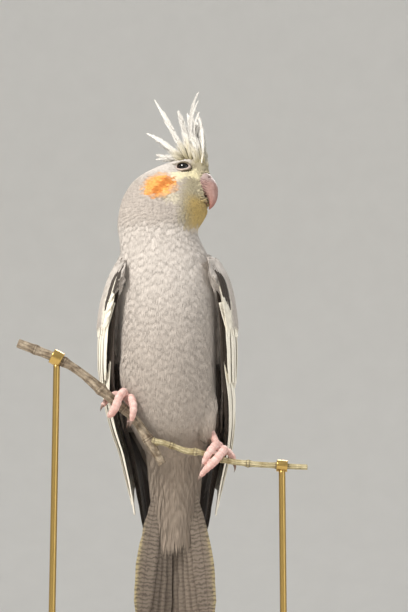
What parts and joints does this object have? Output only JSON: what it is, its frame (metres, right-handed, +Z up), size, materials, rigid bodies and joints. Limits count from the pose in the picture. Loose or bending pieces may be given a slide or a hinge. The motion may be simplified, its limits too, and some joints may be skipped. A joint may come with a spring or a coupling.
{
  "type": "cockatiel",
  "caption": "Life-size still model of a cockatiel gripping a cut forked twig, head turned to its left, held up on rods over a flat oval base.",
  "frame": {"origin": "middle of the stand base's underside", "axes": "+Z up, -Y the way the breast faces, +X towards the bird's left wing and the side the head is turned to"},
  "size_m": [0.156, 0.12, 0.3445],
  "materials": {
    "body_feather": "soft matt grey-brown feathers",
    "head_feather": "short matt olive-grey feathers with a dull orange ear patch",
    "crest_feather": "pale matt feathers",
    "wing_feather": "smooth matt grey-brown vanes with a pale outer band",
    "tail_feather": "smooth matt vanes with fine dark bars",
    "foot_skin": "pinkish scaly skin",
    "eye": "wet near-black",
    "bill_horn": "satin pinkish-grey horn",
    "claw_horn": "satin grey-brown horn",
    "bark": "dry rough bark, cut ends",
    "base_wood": "satin dark wood",
    "rod_brass": "satin brass"
  },
  "bodies": {
    "root": {"torso": "body_feather", "neck": "body_feather", "head": "head_feather", "crest": "crest_feather", "wing_right": "wing_feather", "wing_left": "wing_feather", "tail": "tail_feather", "leg_right": "body_feather", "leg_left": "body_feather", "foot_right": "foot_skin", "foot_left": "foot_skin", "eye_right": "eye", "eye_left": "eye", "bill_upper": "bill_horn", "bill_lower": "bill_horn", "perch_twig": "bark", "stand_base": "base_wood", "stand_rod_right": "rod_brass", "stand_rod_left": "rod_brass", "claw_right_1": "claw_horn", "claw_right_2": "claw_horn", "claw_right_3": "claw_horn", "claw_right_4": "claw_horn", "claw_left_1": "claw_horn", "claw_left_2": "claw_horn", "claw_left_3": "claw_horn", "claw_left_4": "claw_horn"}
  },
  "joints": []
}
